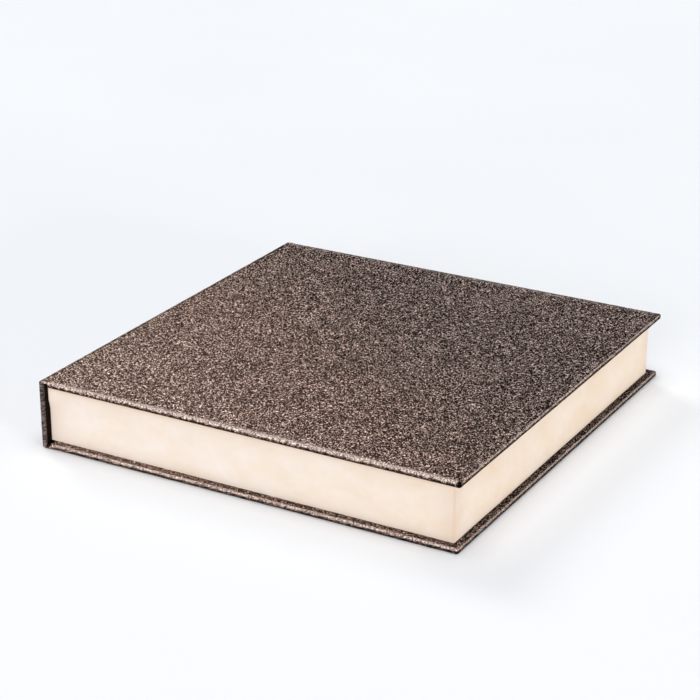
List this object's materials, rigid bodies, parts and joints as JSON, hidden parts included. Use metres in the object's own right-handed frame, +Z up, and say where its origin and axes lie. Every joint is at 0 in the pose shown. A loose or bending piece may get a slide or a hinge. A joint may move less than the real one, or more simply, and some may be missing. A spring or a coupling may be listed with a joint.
{
  "type": "book-style presentation box",
  "caption": "Book-style presentation box with a cloth-hinged lid, covered in bronze leathercloth over a suede-lined tray that holds a square album.",
  "frame": {"origin": "on the surface the box stands on, below the middle of the shut box's bounding box", "axes": "+Z up; +X from the spine to the fore edge; +Y from the tail to the head"},
  "size_m": [0.329, 0.335, 0.0505],
  "materials": {
    "case_cloth": "bronze shimmer grain over dark brown, embossed leathercloth",
    "joint_cloth": "dark brown book cloth, matt",
    "cream_suede": "cream suede cloth, soft matt nap",
    "greyboard": "bare grey bookbinding board",
    "infill_card": "thin buff card",
    "kraft_paper": "brown gummed paper tape",
    "magnet_nickel": "nickel plated",
    "keeper_steel": "zinc plated sheet"
  },
  "bodies": {
    "case": {"spine_board": "greyboard", "spine_cover": "case_cloth", "spine_infill": "infill_card", "spine_lining": "joint_cloth", "base_board": "greyboard", "base_cover": "case_cloth", "base_infill": "infill_card", "tray_floor": "greyboard", "tray_wall_tail": "greyboard", "tray_wall_head": "greyboard", "tray_wall_fore": "greyboard", "tray_wall_spine": "greyboard", "corner_tapes": "kraft_paper", "keeper_plates": "keeper_steel", "tray_wrap": "cream_suede", "floor_lining": "cream_suede", "wall_lining_tail": "cream_suede", "wall_lining_head": "cream_suede", "wall_lining_fore": "cream_suede", "wall_lining_spine": "cream_suede"},
    "joint_strip": {"hinge_cloth": "case_cloth", "hinge_lining": "joint_cloth"},
    "lid": {"lid_board": "greyboard", "lid_cover": "case_cloth", "lid_infill": "infill_card", "lid_joint_tab": "joint_cloth", "lid_lining": "cream_suede", "lid_magnets": "magnet_nickel"}
  },
  "joints": [
    {"name": "strip_fold", "type": "hinge", "parent": "case", "child": "joint_strip", "pos_m": [-0.16182, 0, 0.0505], "axis": [0, -1, 0], "range_deg": [0, 94.9]},
    {"name": "lid_hinge", "type": "hinge", "parent": "joint_strip", "child": "lid", "pos_m": [-0.15702, 0, 0.0505], "axis": [0, -1, 0], "range_deg": [0, 94.9]}
  ],
  "couplings": [
    {"joint": "strip_fold", "follows": "lid_hinge", "ratio": 1}
  ]
}
